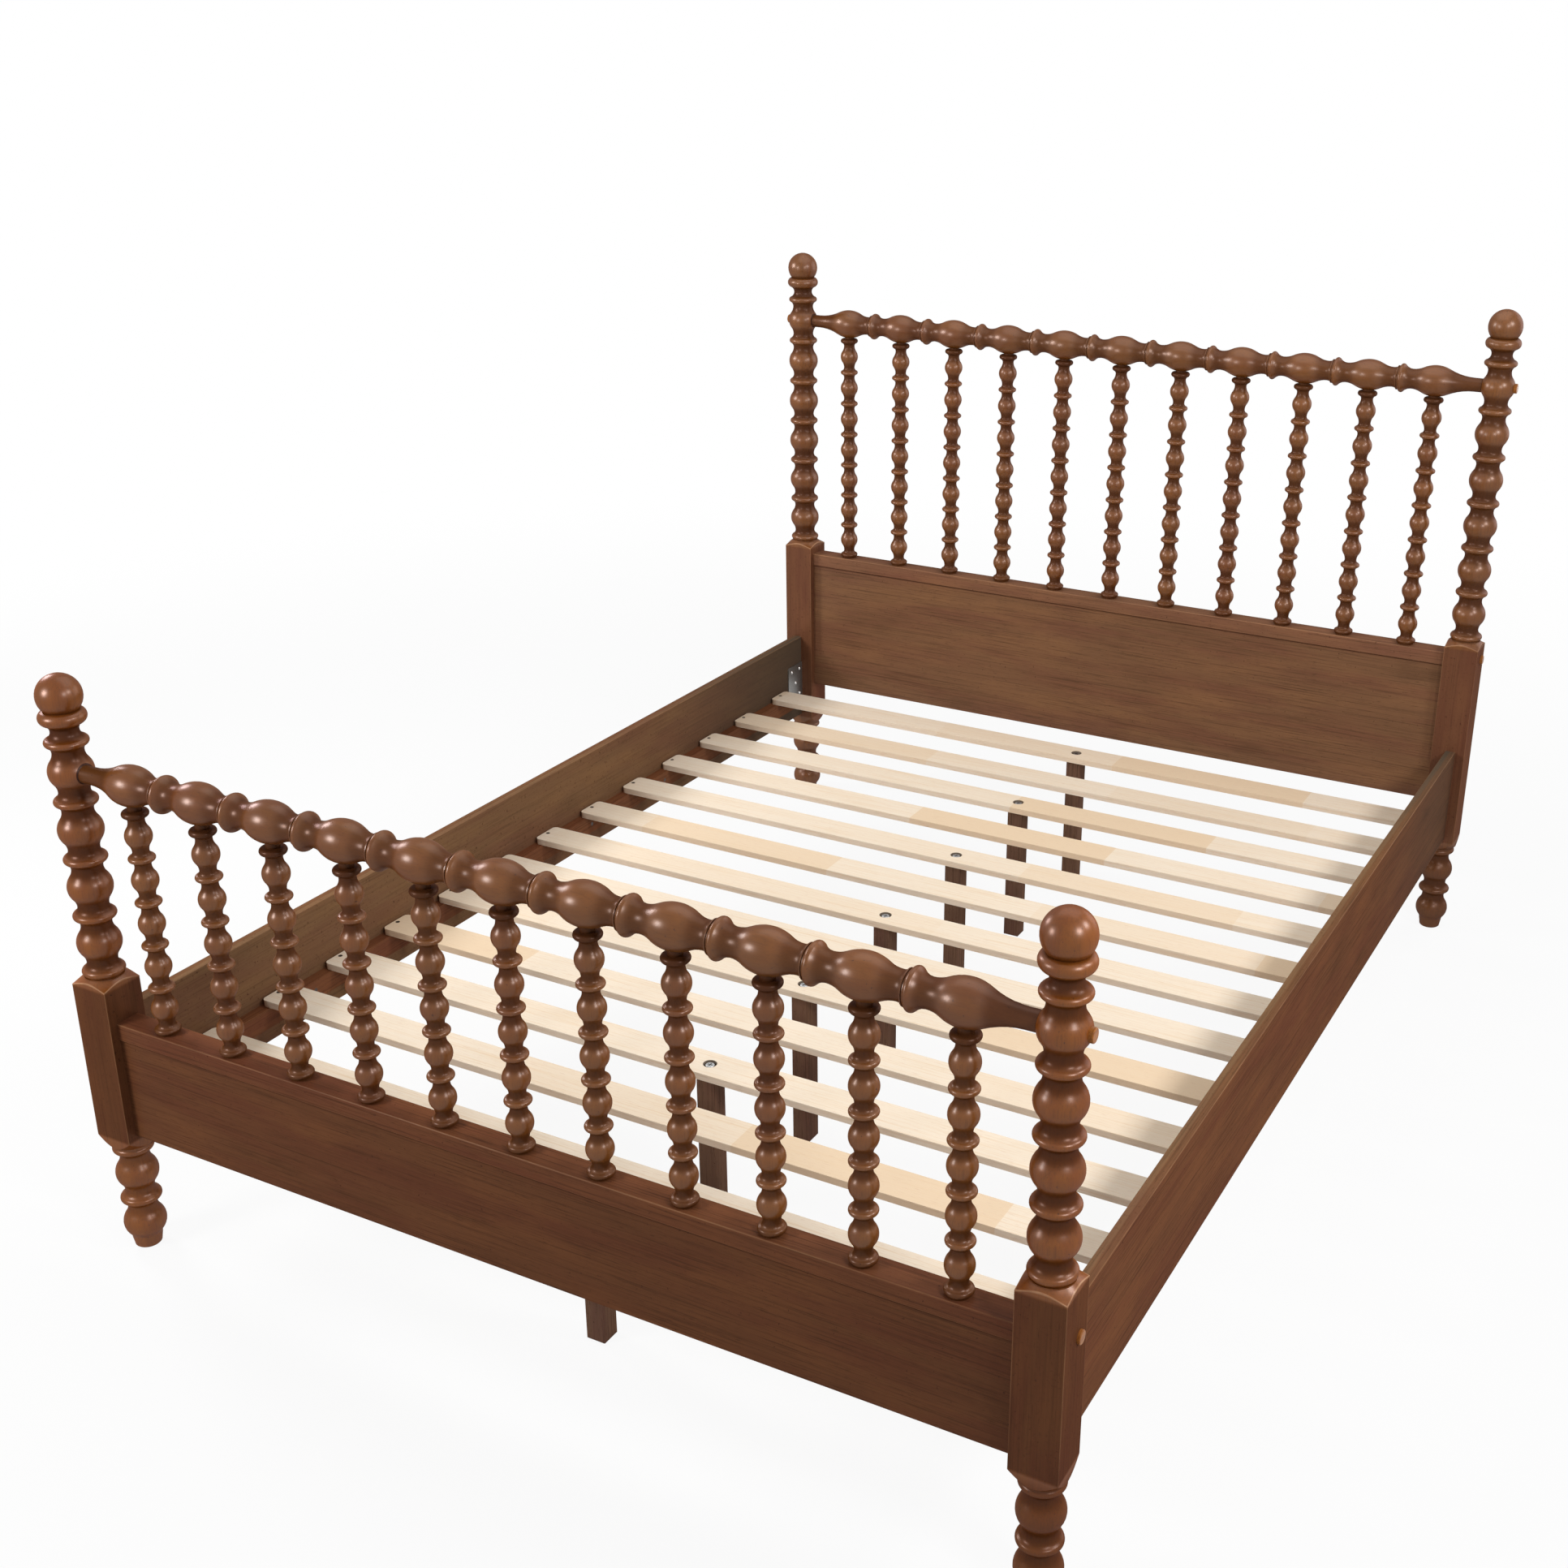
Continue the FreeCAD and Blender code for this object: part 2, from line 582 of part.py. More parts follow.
def slat_screw_places(y):
    x = LEDGER_INNER + SLAT_SCREW_INSET
    return [((side * x, y, SLAT_TOP), (0, 0, -1)) for side in (-1, 1)]


def side_rail(side):
    """Side rail between the posts, rebated at each end for the bracket's leg."""
    rail = box((side * SIDE_RAIL_INNER, side * SIDE_RAIL_OUTER), (-POST_FACE_Y, POST_FACE_Y),
               (SIDE_RAIL_BOTTOM, SIDE_RAIL_BOTTOM + SIDE_RAIL_HEIGHT))
    rail = eased(rail, SIDE_RAIL_EDGE, runs_along(1))
    cuts = [bracket_leg(end, side, FIT_GAP) for end in (FOOT, HEAD)]
    for end in (FOOT, HEAD):
        cuts += [screw_bore(place, BRACKET_SCREW_LENGTH) for place in bracket_screw_places(end, side)]
    cuts += [screw_bore(place, LEDGER_SCREW_LENGTH) for place in ledger_screw_places(side)]
    return rail.cut(cuts)


def ledger(side):
    """Ledger on the rail's inner face, bored for its own screws and the slats'."""
    strip = box((side * LEDGER_INNER, side * SIDE_RAIL_INNER), (-LEDGER_END, LEDGER_END),
                (LEDGER_BOTTOM, SLAT_BOTTOM))
    cuts = [screw_bore(place, LEDGER_SCREW_LENGTH) for place in ledger_screw_places(side)]
    cuts += [placed(flat_head(FIT_GAP), *place) for place in ledger_screw_places(side)]
    for y in SLAT_YS:
        for place in slat_screw_places(y):
            if place[0][0] * side > 0:
                cuts.append(screw_bore(place, SLAT_SCREW_LENGTH))
    return strip.cut(cuts)


# ---------------------------------------------------------- slats, centre legs
def slat(y):
    """Slat with rounded ends, screwed down at both ends, recessed over a centre leg."""
    half = SIDE_RAIL_INNER - SLAT_END_GAP
    board = box((-half, half), (y - SLAT_WIDTH / 2, y + SLAT_WIDTH / 2), (SLAT_BOTTOM, SLAT_TOP))
    board = eased(board, SLAT_CORNER, runs_along(2))
    cuts = []
    for place in slat_screw_places(y):
        cuts.append(screw_bore(place, SLAT_SCREW_LENGTH))
        cuts.append(placed(flat_head(FIT_GAP), *place))
    if y in LEG_YS:
        cuts.append(rod(RECESS_R, (0, y, SLAT_TOP - RECESS_DEPTH), (0, y, SLAT_TOP + OVERCUT)))
        cuts.append(rod(BOLT_R + FIT_GAP, (0, y, SLAT_BOTTOM - OVERCUT), (0, y, SLAT_TOP)))
    return board.cut(cuts)


def centre_leg(y):
    """Square leg from the floor to the slat, bored for its bolt."""
    half = CENTRE_LEG_SIDE / 2
    leg = box((-half, half), (y - half, y + half), (0, SLAT_BOTTOM))
    leg = eased(leg, CENTRE_LEG_EDGE, runs_along(2))
    head_z = SLAT_TOP - RECESS_DEPTH
    return leg.cut(rod(BOLT_R + FIT_GAP, (0, y, head_z - BOLT_LENGTH - FIT_GAP), (0, y, head_z)))


def leg_bolt(y):
    """Bolt through the slat into the leg, its low round head in the recess."""
    head_z = SLAT_TOP - RECESS_DEPTH
    head = Part.makeCylinder(BOLT_HEAD_R, BOLT_HEAD_HEIGHT, FreeCAD.Vector(0, y, head_z))
    top = head_z + BOLT_HEAD_HEIGHT
    rim = [edge for edge in head.Edges if edge.BoundBox.ZMin > top - 0.1]
    head = head.makeFillet(BOLT_HEAD_HEIGHT / 4, rim)
    shank = rod(BOLT_R, (0, y, head_z - BOLT_LENGTH), (0, y, head_z + BOLT_HEAD_HEIGHT / 2))
    return head.fuse(shank).removeSplitter()


# ---------------------------------------------------------- fittings and plugs
def bracket_leg(end, side, gap=0.0):
    """Leg of a bracket across the rail's end, or the rebate that takes it."""
    inward = -1 if end.y > 0 else 1
    face = end.y + inward * HALF_BLOCK
    x_range = (side * (SIDE_RAIL_INNER - BRACKET_THICKNESS), side * (SIDE_RAIL_INNER + BRACKET_LEG + gap))
    return box(x_range, (face, face + inward * (BRACKET_THICKNESS + gap)),
               (BRACKET_BOTTOM - gap, BRACKET_BOTTOM + BRACKET_HEIGHT + gap))


def hook_heights():
    top = BRACKET_BOTTOM + BRACKET_HEIGHT - HOOK_INSET
    return [BRACKET_BOTTOM + HOOK_INSET, top - HOOK_HEIGHT]


def hook_slots(end, side):
    """Slots in the post's face, tall enough to drop the hooks into."""
    inward = -1 if end.y > 0 else 1
    face = end.y + inward * HALF_BLOCK
    x_range = (side * (SIDE_RAIL_INNER + BRACKET_LEG / 2 - FIT_GAP),
               side * (SIDE_RAIL_INNER + BRACKET_LEG / 2 + BRACKET_THICKNESS + FIT_GAP))
    y_range = (face + inward * OVERCUT, face - inward * (HOOK_REACH + FIT_GAP))
    return [box(x_range, y_range, (z - HOOK_LIP - FIT_GAP, z + HOOK_HEIGHT + FIT_GAP))
            for z in hook_heights()]


def bracket(end, side):
    """Zinc angle: a plate on the rail's inner face, a leg across its end and two hooks."""
    inward = -1 if end.y > 0 else 1
    face = end.y + inward * HALF_BLOCK
    plate = box((side * (SIDE_RAIL_INNER - BRACKET_THICKNESS), side * SIDE_RAIL_INNER),
                (face, face + inward * BRACKET_LENGTH), (BRACKET_BOTTOM, BRACKET_BOTTOM + BRACKET_HEIGHT))
    free_edge = face + inward * BRACKET_LENGTH
    plate = eased(plate, BRACKET_CORNER,
                  lambda edge: runs_along(0)(edge) and abs(edge.Vertexes[0].Y - free_edge) < 1e-6)
    hook_x = side * (SIDE_RAIL_INNER + BRACKET_LEG / 2)
    hooks = []
    for z in hook_heights():
        outline = [(0, 0), (-HOOK_REACH, -HOOK_LIP), (-HOOK_REACH, HOOK_HEIGHT / 2), (0, HOOK_HEIGHT)]
        outline.insert(1, (-HOOK_REACH / 3, 0))
        points = [FreeCAD.Vector(hook_x, face + inward * along, z + rise) for along, rise in outline]
        shape = Part.Face(Part.makePolygon(points + points[:1]))
        hooks.append(shape.extrude(FreeCAD.Vector(side * BRACKET_THICKNESS, 0, 0)))
    whole = plate.fuse([bracket_leg(end, side)] + hooks).removeSplitter()
    holes = [screw_bore(place, BRACKET_SCREW_LENGTH) for place in bracket_screw_places(end, side)]
    return whole.cut(holes)


def round_head_screw():
    """Screw along +Z from its seat at z = 0, with a low domed head behind it."""
    dome_r = (ROUND_HEAD_R ** 2 + ROUND_HEAD_HEIGHT ** 2) / (2 * ROUND_HEAD_HEIGHT)
    outline = Outline(-ROUND_HEAD_HEIGHT)
    outline.arc((0.0, dome_r - ROUND_HEAD_HEIGHT), (ROUND_HEAD_R, 0.0))
    outline.line(SCREW_R, 0.0)
    outline.line(SCREW_R, BRACKET_SCREW_LENGTH)
    return outline.turned()


def flat_head(gap=0.0):
    """Countersunk head, flush at z = 0, narrowing towards +Z."""
    height = FLAT_HEAD_HEIGHT
    return Part.makeCone(FLAT_HEAD_R + gap, SCREW_R + gap, height, FreeCAD.Vector(0, 0, 0))


def flat_head_screw(length):
    return flat_head().fuse(Part.makeCylinder(SCREW_R, length)).removeSplitter()


def plug_places(end, side):
    """Bottom of each plug's bore and the way it faces: beside the cap, and at the top rail."""
    face = HALF_X + HALF_BLOCK - PLUG_DEPTH
    crown = HALF_X + POST_BULB_R - PLUG_DEPTH
    return [((side * face, end.y + PLUG_SHIFT_Y, end.cap_middle), (side, 0, 0)),
            ((side * crown, end.y, end.rail_z), (side, 0, 0))]


def plug():
    """Round wooden button with a softened rim, standing a little proud of its bore."""
    height = PLUG_DEPTH + PLUG_PROUD
    button = Part.makeCylinder(PLUG_R, height)
    rim = [edge for edge in button.Edges if edge.BoundBox.ZMin > height - 0.1]
    return button.makeFillet(PLUG_ROUNDING, rim)


# ---------------------------------------------------------------------- export
def group(shapes):
    return Part.makeCompound(shapes)


def build():
    nodes = {}
    sides = (("left", -1), ("right", 1))
    for name, end in (("foot", FOOT), ("head", HEAD)):
        for side_name, side in sides:
            nodes[name + "_post_" + side_name] = post(end, side)
        nodes[name + "_top_rail"] = top_rail(end)
        nodes[name + "_panel_cap"] = cap(end)
        nodes[name + "_panel"] = panel_blank(end)
        blank = spindle(end)
        for index, x in enumerate(SPINDLE_XS, 1):
            nodes["%s_spindle_%02d" % (name, index)] = placed(blank, (x, end.y, 0))
    for side_name, side in sides:
        nodes["side_rail_" + side_name] = side_rail(side)
        nodes["slat_ledger_" + side_name] = ledger(side)
    for index, y in enumerate(SLAT_YS, 1):
        nodes["slat_%02d" % index] = slat(y)
    nodes["centre_legs"] = group([centre_leg(y) for y in LEG_YS])
    nodes["leg_bolts"] = group([leg_bolt(y) for y in LEG_YS])

    corners = [(end, side) for end in (FOOT, HEAD) for side in (-1, 1)]
    nodes["rail_brackets"] = group([bracket(end, side) for end, side in corners])
    round_screw = round_head_screw()
    nodes["bracket_screws"] = group([placed(round_screw, *place) for end, side in corners
                                     for place in bracket_screw_places(end, side)])
    button = plug()
    nodes["post_plugs"] = group([placed(button, *place) for end, side in corners
                                 for place in plug_places(end, side)])
    ledger_screw = flat_head_screw(LEDGER_SCREW_LENGTH)
    nodes["ledger_screws"] = group([placed(ledger_screw, *place) for side in (-1, 1)
                                    for place in ledger_screw_places(side)])
    slat_screw = flat_head_screw(SLAT_SCREW_LENGTH)
    nodes["slat_screws"] = group([placed(slat_screw, *place) for y in SLAT_YS
                                  for place in slat_screw_places(y)])
    return nodes


os.makedirs("parts", exist_ok=True)
for node_name, node_shape in build().items():
    node_shape.exportStep("parts/%s.step" % node_name)
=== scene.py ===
import math

import bpy
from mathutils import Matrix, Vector


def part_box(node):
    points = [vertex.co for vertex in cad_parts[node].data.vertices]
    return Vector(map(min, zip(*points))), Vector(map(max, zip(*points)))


bl_info = {
    "name": "Spindle Bed Finishes",
    "version": (1, 0, 0),
    "blender": (4, 5, 0),
    "location": "3D View > Sidebar > Spindle Bed",
    "description": "Stain, lacquer, bare slats and zinc fittings for a turned spindle bed",
    "category": "Object",
}

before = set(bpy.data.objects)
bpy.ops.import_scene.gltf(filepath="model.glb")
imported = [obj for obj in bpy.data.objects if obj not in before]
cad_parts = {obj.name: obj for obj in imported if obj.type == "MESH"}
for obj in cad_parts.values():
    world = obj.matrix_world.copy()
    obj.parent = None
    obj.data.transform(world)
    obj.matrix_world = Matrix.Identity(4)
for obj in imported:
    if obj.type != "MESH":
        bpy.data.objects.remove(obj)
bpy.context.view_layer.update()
PHOTO_SIDE = 1932                       # pixels on each side of the photograph

# ------------------------------------------------------------ places from the frame
SPINDLES = [name for name in sorted(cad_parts) if "_spindle_" in name]
SLATS = [name for name in sorted(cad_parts) if name.startswith("slat_") and name[5:].isdigit()]
ENDS = ("foot", "head")
SIDES = ("left", "right")


def middle(node):
    low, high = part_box(node)
    return (low + high) / 2


POST_X = middle("foot_post_right").x
POST_Y = middle("head_post_right").y
SPINDLE_PITCH = middle("foot_spindle_02").x - middle("foot_spindle_01").x
BLOCK_HALF = 0.034                      # half the side of a post's square block
BLOCK_BOTTOM = 0.211                    # where a post's block starts above its turned leg
CAP_TO_BLOCK = {"foot": 0.0725, "head": 0.030}      # from a cap's middle up to the block's top
SHOULDER_SLOPE = 0.505                  # rise of a block's turned shoulder towards its middle
BALL_RADIUS = 0.033                     # the ball on top of a post
TENON_R = 0.0135                        # radius of a top rail's round end
RAIL_MIDDLE_X = middle("side_rail_right").x
RAIL_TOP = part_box("side_rail_right")[1].z
SLAT_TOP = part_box("slat_01")[1].z
SLAT_PITCH = 0.153                      # about the slats' spacing, so that each slat is one row
BOLT_YS = (-0.918, -0.600, -0.300, 0.0, 0.300, 0.600, 0.918)

# turned work: the crown's radius without stain and painted shade, the neck's with the most, and how
# much that is
POST_NECKS = (0.0325, 0.0208, 0.80)
SPINDLE_NECKS = (0.0180, 0.0115, 0.70)
RAIL_NECKS = (0.0280, 0.0190, 0.50)

JOIN_WITHIN = 0.00001                   # faces of a solid share points that lie this close
EDGE_ANGLE = math.radians(25.0)         # an edge sharper than this stays crisp

# soft boxes: name, place and share of the power
LAMPS = (("lamp right back", (2.65, -0.20, 2.30), 0.75),
         ("lamp right front", (2.35, -1.70, 2.00), 0.6),
         ("lamp left front", (-1.60, -2.80, 1.65), 0.9),
         ("lamp left back", (-2.60, -0.40, 1.85), 1.0))
LAMP_WIDTH = 0.70                       # side of a lamp with a share of 1
LAMP_AIM = (0.0, 0.0, 0.6)
CEILING_PLACE, CEILING_AIM, CEILING_WIDTH = (0.0, 0.9, 3.4), (0.0, 0.9, 0.0), 3.2
BACK_PLACE, BACK_AIM, BACK_WIDTH, BACK_SHARE = (2.2, 3.7, 1.7), (0.0, 1.0, 0.6), 2.8, 1.2

CAMERA_PLACE = (1.47532, -2.83266, 1.90545)
CAMERA_TURN = (1.179102, -0.009114, 0.47995)
CAMERA_SHIFT = (-135.3, -12.15)         # in pixels of the photograph
SENSOR_WIDTH = 36.0

FLOOR_SIDE = 60.0
FLOOR_Z = -0.0005                       # just under the feet
FLOOR_GREY = (0.66, 0.66, 0.66, 1.0)
WHITE = (1.0, 1.0, 1.0, 1.0)


# ------------------------------------------------------------------ shader writing
class Shade:
    """One output socket of a node tree, with the arithmetic that the finishes use."""

    def __init__(self, tree, socket):
        self.tree = tree
        self.socket = socket

    def math(self, operation, *others):
        return self.tree.add("ShaderNodeMath", {"operation": operation}, [self, *others])

    def __add__(self, other):
        return self.math("ADD", other)

    __radd__ = __add__

    def __mul__(self, other):
        return self.math("MULTIPLY", other)

    __rmul__ = __mul__

    def __sub__(self, other):
        return self.math("SUBTRACT", other)

    def __rsub__(self, other):
        return self.tree.add("ShaderNodeMath", {"operation": "SUBTRACT"}, [other, self])

    def __truediv__(self, other):
        return self.math("DIVIDE", other)

    def __pow__(self, other):
        return self.math("POWER", other)

    def ramp(self, low, high, start=0.0, stop=1.0):
        """Goes smoothly from start at low to stop at high."""
        settings = {"interpolation_type": "SMOOTHSTEP"}
        return self.tree.add("ShaderNodeMapRange", settings, [self, low, high, start, stop])


class Tree:
    """A node tree, written with calls instead of links."""

    def __init__(self, name):
        self.material = bpy.data.materials.new(name)
        self.material.use_nodes = True
        self.take(self.material.node_tree)
        self.shader = self.nodes["Principled BSDF"]

    @classmethod
    def of(cls, node_tree):
        tree = cls.__new__(cls)
        tree.take(node_tree)
        return tree

    def take(self, node_tree):
        self.nodes = node_tree.nodes
        self.links = node_tree.links

    def add(self, kind, settings, inputs, output=0):
        """A node of a kind, its settings first, then its sockets by place or by name."""
        node = self.nodes.new(kind)
        for name, value in settings.items():
            setattr(node, name, value)
        pairs = inputs.items() if isinstance(inputs, dict) else enumerate(inputs)
        for key, value in pairs:
            self.feed(node.inputs[key], value)
        return Shade(self, node.outputs[output])

    def feed(self, socket, value):
        if isinstance(value, Shade):
            self.links.new(value.socket, socket)
        else:
            socket.default_value = value

    def set(self, **values):
        """Principled inputs, with underscores for spaces."""
        for name, value in values.items():
            self.feed(self.shader.inputs[name.replace("_", " ")], value)

    def place(self):
        """Object coordinates, in metres in the bed's own frame."""
        return self.add("ShaderNodeTexCoord", {}, [], "Object")

    def axes(self, vector):
        return [self.add("ShaderNodeSeparateXYZ", {}, [vector], index) for index in range(3)]

    def vector(self, x, y, z):
        return self.add("ShaderNodeCombineXYZ", {}, [x, y, z])

    def stretched(self, vector, scale):
        return self.add("ShaderNodeMapping", {}, {"Vector": vector, "Scale": scale})

    def noise(self, vector, scale, detail=4.0, rough=0.55, distortion=0.0):
        inputs = {"Vector": vector, "Scale": scale, "Detail": detail, "Roughness": rough,
                  "Distortion": distortion}
        return self.add("ShaderNodeTexNoise", {}, inputs, "Fac")

    def mix(self, factor, first, second):
        """The first colour where the factor is 0 and the second where it is 1."""
        inputs = {0: factor, 6: first, 7: second}
        return self.add("ShaderNodeMix", {"data_type": "RGBA"}, inputs, 2)

    def bump(self, height, strength, distance):
        inputs = {"Height": height, "Strength": strength, "Distance": distance}
        return self.add("ShaderNodeBump", {}, inputs, "Normal")


def seen_ray(tree):
    """1 for what the camera sees, directly or in metal and glass, and 0 for light on the object."""
    paths = ("Is Camera Ray", "Is Glossy Ray", "Is Transmission Ray")
    first, second, third = [tree.add("ShaderNodeLightPath", {}, [], path) for path in paths]
    return first.math("MAXIMUM", second).math("MAXIMUM", third)


def colour(group, name):
    return (*getattr(group, name), 1.0)


# ------------------------------------------------------------------------ settings
def tint(name, description, default):
    return bpy.props.FloatVectorProperty(name=name, description=description, default=default,
                                         subtype="COLOR", min=0.0, max=1.0, size=3)


def part_of_one(name, description, default):
    return bpy.props.FloatProperty(name=name, description=description, default=default,
                                   subtype="FACTOR", min=0.0, max=1.0)


class StainSettings(bpy.types.PropertyGroup):
    """Colours of the stained frame."""

    ground: tint("Ground", "Stain on the turned wood", (0.160, 0.0540, 0.0105))
    foot_ground: tint("Foot posts", "Warmer stain on the foot posts", (0.184, 0.0530, 0.0045))
    # stain with painted shade in the turned necks, and the colour of dark specks
    groove_stain_and_shade: tint("Groove", "Stain gathered in the turned necks", (0.040, 0.014, 0.008))
    # painted shade and a painted grey reflection on the side rails' far ends
    far_end_shade: tint("Far_shade", "Grey-brown haze on the side rails' far ends", (0.074, 0.058, 0.043))
    rim: tint("Rim", "Tint of the fibres' glint where it grazes a surface", (0.35, 0.19, 0.11))
    # lighter edge colour: thinned stain with a painted edge highlight
    edge_wear_and_highlight: tint("Worn_and_lit edge", "Stain rubbed thin along sharp edges", (0.42, 0.22, 0.11))
    board: tint("Board", "Stain on the flat boards", (0.125, 0.048, 0.021))
    head_board: tint("Headboard", "Stain on the headboard's panel", (0.172, 0.084, 0.043))
    head_block: tint("Head blocks", "Stain on the head posts' blocks", (0.136, 0.056, 0.029))
    inner: tint("Inner rail", "Thinner stain inside the side rails", (0.178, 0.096, 0.048))
    leg: tint("Leg", "Dull stain of the centre legs", (0.150, 0.080, 0.050))
    gloss: part_of_one("Wood roughness", "Roughness of the stained wood itself", 0.34)
    lacquer: part_of_one("Polish", "Strength of the polish on turned wood", 0.18)
    polish: part_of_one("Polish roughness", "Roughness of the polish", 0.31)
    sheen: part_of_one("Fibre sheen", "Warm glint of the fibres under the polish", 0.16)
    depth: bpy.props.FloatProperty(name="Polish index", min=1.0, max=4.0, default=2.5,
                                   description="Refractive index of the polish")


class SlatSettings(bpy.types.PropertyGroup):
    """Colours of the bare slats."""

    pale: tint("Pale", "Light boards", (0.81, 0.70, 0.565))
    tan: tint("Tan", "Darker boards", (0.74, 0.56, 0.375))
    edge: tint("Edge", "Sawn faces along the sides", (0.55, 0.33, 0.22))
    # painted shade in the bolts' bores
    bore_shade: tint("Bore", "Shaded wood of the bolts' bores", (0.060, 0.040, 0.028))
    board: bpy.props.FloatProperty(name="Board length", min=0.1, max=1.5, default=0.43,
                                   unit="LENGTH", description="Length of the boards in a slat")


class FittingSettings(bpy.types.PropertyGroup):
    """Colours of the metal fittings and the wooden plugs."""

    bracket: tint("Bracket", "Dull zinc of the rail brackets", (0.36, 0.355, 0.34))
    screw: tint("Bracket screw", "Bright zinc of the brackets' screws", (0.72, 0.71, 0.69))
    bolt: tint("Bolt", "Bright zinc of the bolts in the slats", (0.52, 0.52, 0.52))
    dark_screw: tint("Dark screw", "Dark screws of slats and ledgers", (0.10, 0.08, 0.07))
    plug: tint("Plug", "Orange wood of the plugs", (0.33, 0.122, 0.027))
    plug_streak: tint("Plug streak", "Darker streaks in the plugs", (0.20, 0.064, 0.015))


class StudioSettings(bpy.types.PropertyGroup):
    """Light and camera."""

    lens: bpy.props.FloatProperty(name="Lens", default=44.30,
                                  description="Focal length in millimetres")
    lamps: bpy.props.FloatProperty(name="Lamps", default=46.0,
                                   description="Watts of a soft box with a share of 1")
    ceiling: bpy.props.FloatProperty(name="Ceiling", default=40.0,
                                     description="Watts of the wide overhead box")
    ambient: bpy.props.FloatProperty(name="Ambient", default=0.20,
                                     description="Strength of the even light")


# ----------------------------------------------------------------------- finishes
def wood_grain(tree, place, axis):
    """Looks at one piece of wood: broad figure, fine streaks, short pores and even clouds."""
    def along(across, run):
        scale = [across] * 3
        scale[axis] = run
        return tree.stretched(place, scale)
    figure = tree.noise(along(17.0, 2.0), 1.0, 4.0, 0.58, 0.5)
    streaks = tree.noise(along(360.0, 5.5), 1.0, 4.0, 0.7, 0.3)
    pores = tree.noise(along(1000.0, 55.0), 1.0, 1.0, 0.5)
    cloud = tree.noise(along(15.0, 4.0), 1.0, 4.0, 0.6)
    return figure, streaks, pores, cloud


def stained(tree, looks, plain, grain):
    """One stain, darker, redder or yellower by turns as the wood takes it."""
    figure, streaks, pores, cloud = looks
    dark = tuple(channel * 0.50 for channel in plain)
    red = (plain[0] * 0.92, plain[1] * 0.82, plain[2] * 0.90, 1.0)
    yellow = (plain[0] * 1.26, plain[1] * 1.24, plain[2] * 1.14, 1.0)
    body = tree.mix(figure.ramp(0.36, 0.60), red, (*plain, 1.0))
    body = tree.mix(cloud.ramp(0.44, 0.72, 0.0, 0.75), body, yellow)
    body = tree.mix(cloud.ramp(0.46, 0.26, 0.0, 0.30 * grain), body, (*dark, 1.0))
    body = tree.mix(streaks.ramp(0.52, 0.30, 0.0, 0.55 * grain), body, (*dark, 1.0))
    body = tree.mix(streaks.ramp(0.55, 0.76, 0.0, 0.5 * grain), body, yellow)
    return tree.mix(pores.ramp(0.64, 0.76, 0.0, 0.55 * grain), body, (*dark, 1.0))


def stained_wood(name, axis, settings, plain, depth=None, wear_and_highlight=None, grain=1.5, second=None,
                 where=None, lacquer=0.03, deep="groove_stain_and_shade", turned=False):
    """Red-brown stain under satin lacquer, with the grain along an axis.

    depth says where stain and painted shade gather, the argument after it where stain is thinned
    along edges and an edge highlight is painted, and where has the second stain.
    """
    tree = Tree(name)
    place = tree.place()
    looks = wood_grain(tree, place, axis)
    _, streaks, pores, cloud = looks
    body = stained(tree, looks, plain, grain)
    speck = tree.noise(place, 210.0, 2.0, 0.5)
    if second is not None:
        square = where(tree, place)
        block = stained(tree, looks, second, 0.9)
        block = tree.mix(speck.ramp(0.58, 0.70, 0.0, 0.20), block, colour(settings, "groove_stain_and_shade"))
        body = tree.mix(square, body, block)
        lacquer = square.ramp(0.0, 1.0, lacquer, 0.025)
    body = tree.mix(speck.ramp(0.70, 0.76, 0.0, 0.7), body, colour(settings, "groove_stain_and_shade"))
    if depth is not None:
        # darker where depth says: stain with painted shade in the necks, painted shade in corners,
        # at spindle ends and at the rails' far ends
        darkening = depth(tree, place)
        body = tree.mix(darkening, body, colour(settings, deep))
        lacquer = darkening.ramp(0.0, 0.75, 1.0, 0.25) * lacquer
    if wear_and_highlight is not None:
        # lighter edges: thinned stain with a painted edge highlight
        rubbed_and_lit = wear_and_highlight(tree, place) * cloud.ramp(0.34, 0.60, 0.3, 0.95)
        body = tree.mix(rubbed_and_lit, body, colour(settings, "edge_wear_and_highlight"))
    rough = settings.gloss + pores.ramp(0.55, 0.75, 0.0, 0.10) + cloud.ramp(0.3, 0.7, -0.04, 0.06)
    height = pores.ramp(0.58, 0.72, 1.0, 0.0) * 0.5 + streaks * 0.5
    tree.set(Base_Color=body, Roughness=rough, Normal=tree.bump(height, 0.10 * grain, 0.0002))
    tree.set(Specular_IOR_Level=0.0, Coat_Weight=lacquer, Coat_Roughness=settings.polish,
             Coat_IOR=settings.depth)
    if turned:
        tree.set(Metallic=settings.sheen, Specular_Tint=colour(settings, "rim"))
    return tree.material


def shaded(stain, factor):
    return tuple(channel * factor for channel in stain)


def side(node, axis):
    """A box-like node's axis, distance from the middle plane (height for Z) and half width."""
    low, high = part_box(node)
    return axis, abs(low[axis] + high[axis]) / 2, (high[axis] - low[axis]) / 2


def arrises(first, second, width=0.0020, most=1.0):
    """Factor that is 1 along a long box's arrises, where the faces of two sides meet."""
    def build(tree, place):
        axes = tree.axes(place)
        insets = []
        for axis, centre, half in (first, second):
            across = axes[axis] if axis == 2 else axes[axis].math("ABSOLUTE")
            insets.append((across - centre).math("ABSOLUTE") - half)
        return (insets[0] + insets[1]).ramp(-width, 0.0, 0.0, most)
    return build


